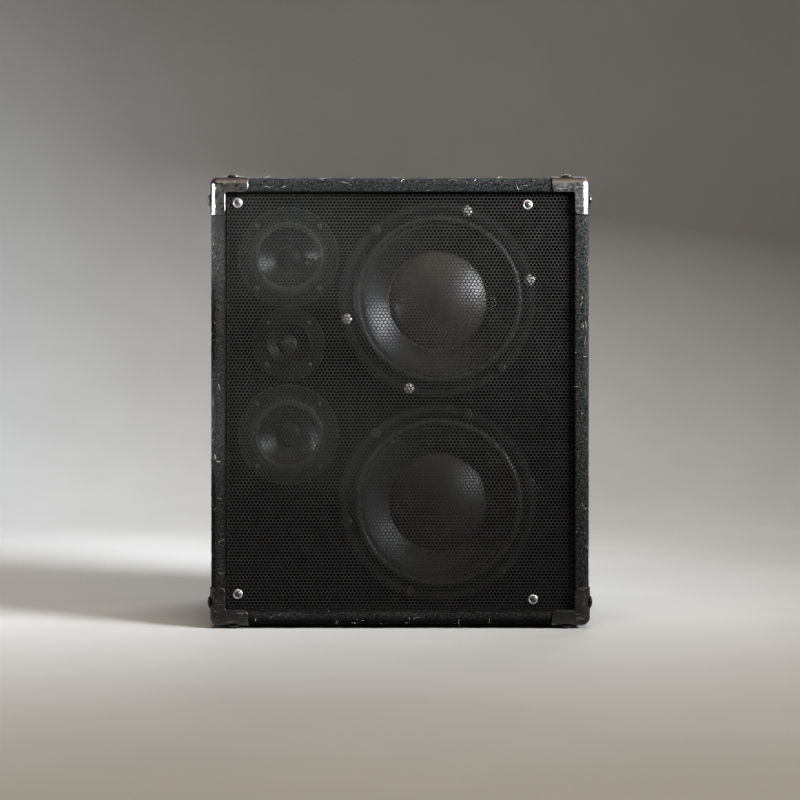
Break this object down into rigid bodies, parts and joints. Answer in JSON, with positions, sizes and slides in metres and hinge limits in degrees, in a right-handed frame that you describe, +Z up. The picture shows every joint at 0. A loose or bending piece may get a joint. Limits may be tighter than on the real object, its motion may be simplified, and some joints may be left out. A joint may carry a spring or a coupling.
{
  "type": "pa speaker cabinet",
  "caption": "Carpet-covered full-range PA speaker cabinet with woofers, sealed mids and a dome tweeter behind a perforated steel grille, metal corners, side handles and rear inputs.",
  "frame": {"origin": "on the floor, under the middle of the cabinet's footprint", "axes": "+Z up, the grille side faces -Y, +X is to the right of someone facing the grille"},
  "size_m": [0.502, 0.409, 0.593],
  "materials": {
    "carpet": "charcoal needle-punched cabinet carpet",
    "plywood": "birch plywood, bare inside",
    "baffle": "plywood painted matt black",
    "grille": "black powder-coated perforated steel",
    "nickel": "nickel-plated pressed steel, scuffed",
    "rubber": "black rubber",
    "basket": "grey-black painted frame",
    "ferrite": "dark ferrite and plated steel",
    "steel": "zinc-plated steel",
    "paper": "black treated paper pulp, matt",
    "cap": "glossy black",
    "surround": "doped black cloth",
    "spider": "resin-treated cotton",
    "plastic": "black moulded plastic",
    "dome": "coated black dome",
    "black_steel": "black powder-coated pressed steel",
    "board": "green circuit board",
    "copper": "enamelled copper wire"
  },
  "bodies": {
    "cabinet": {"top_panel": "plywood", "bottom_panel": "plywood", "left_panel": "plywood", "right_panel": "plywood", "back_panel": "plywood", "back_carpet": "carpet", "front_baffle": "baffle", "carpet_wrap": "carpet", "corner_front_bottom_left": "nickel", "corner_front_bottom_right": "nickel", "corner_front_top_left": "nickel", "corner_front_top_right": "nickel", "corner_rear_bottom_left": "nickel", "corner_rear_bottom_right": "nickel", "corner_rear_top_left": "nickel", "corner_rear_top_right": "nickel", "foot_front_left": "rubber", "foot_front_right": "rubber", "foot_rear_left": "rubber", "foot_rear_right": "rubber", "grille": "grille", "grille_screw_top_left": "nickel", "grille_screw_top_right": "nickel", "grille_screw_bottom_left": "nickel", "grille_screw_bottom_right": "nickel", "woofer_upper_basket": "basket", "woofer_upper_magnet": "ferrite", "woofer_upper_yoke": "steel", "woofer_upper_surround": "surround", "woofer_upper_spider": "spider", "woofer_lower_basket": "basket", "woofer_lower_magnet": "ferrite", "woofer_lower_yoke": "steel", "woofer_lower_surround": "surround", "woofer_lower_spider": "spider", "mid_upper_frame": "basket", "mid_upper_magnet": "ferrite", "mid_upper_surround": "surround", "mid_lower_frame": "basket", "mid_lower_magnet": "ferrite", "mid_lower_surround": "surround", "tweeter_faceplate": "plastic", "tweeter_magnet": "ferrite", "handle_left_dish": "black_steel", "handle_left_grip": "rubber", "handle_right_dish": "black_steel", "handle_right_grip": "rubber", "input_tray": "black_steel", "speaker_socket": "plastic", "jack_socket": "plastic", "crossover_board": "board", "crossover_coil": "copper"},
    "woofer_upper_moving": {"woofer_upper_cone": "paper", "woofer_upper_dust_cap": "cap"},
    "woofer_lower_moving": {"woofer_lower_cone": "paper", "woofer_lower_dust_cap": "cap"},
    "mid_upper_moving": {"mid_upper_cone": "cap"},
    "mid_lower_moving": {"mid_lower_cone": "cap"},
    "tweeter_moving": {"tweeter_dome": "dome"},
    "level_knob": {"horn_level_knob": "plastic"}
  },
  "joints": [
    {"name": "woofer_upper_travel", "type": "slide", "parent": "cabinet", "child": "woofer_upper_moving", "axis": [0, -1, 0], "range_m": [-0.005, 0.005], "stiffness_N_per_m": 2200, "deforming": ["woofer_upper_surround", "woofer_upper_spider"]},
    {"name": "woofer_lower_travel", "type": "slide", "parent": "cabinet", "child": "woofer_lower_moving", "axis": [0, -1, 0], "range_m": [-0.005, 0.005], "stiffness_N_per_m": 2200, "deforming": ["woofer_lower_surround", "woofer_lower_spider"]},
    {"name": "mid_upper_travel", "type": "slide", "parent": "cabinet", "child": "mid_upper_moving", "axis": [0, -1, 0], "range_m": [-0.0015, 0.0015], "stiffness_N_per_m": 1000, "deforming": ["mid_upper_surround"]},
    {"name": "mid_lower_travel", "type": "slide", "parent": "cabinet", "child": "mid_lower_moving", "axis": [0, -1, 0], "range_m": [-0.0015, 0.0015], "stiffness_N_per_m": 1000, "deforming": ["mid_lower_surround"]},
    {"name": "tweeter_travel", "type": "slide", "parent": "cabinet", "child": "tweeter_moving", "axis": [0, -1, 0], "range_m": [-0.0004, 0.0004], "stiffness_N_per_m": 100},
    {"name": "level_knob_turn", "type": "hinge", "parent": "cabinet", "child": "level_knob", "pos_m": [0.038, 0.178, 0.337], "axis": [0, 1, 0], "range_deg": [-150, 150]}
  ]
}
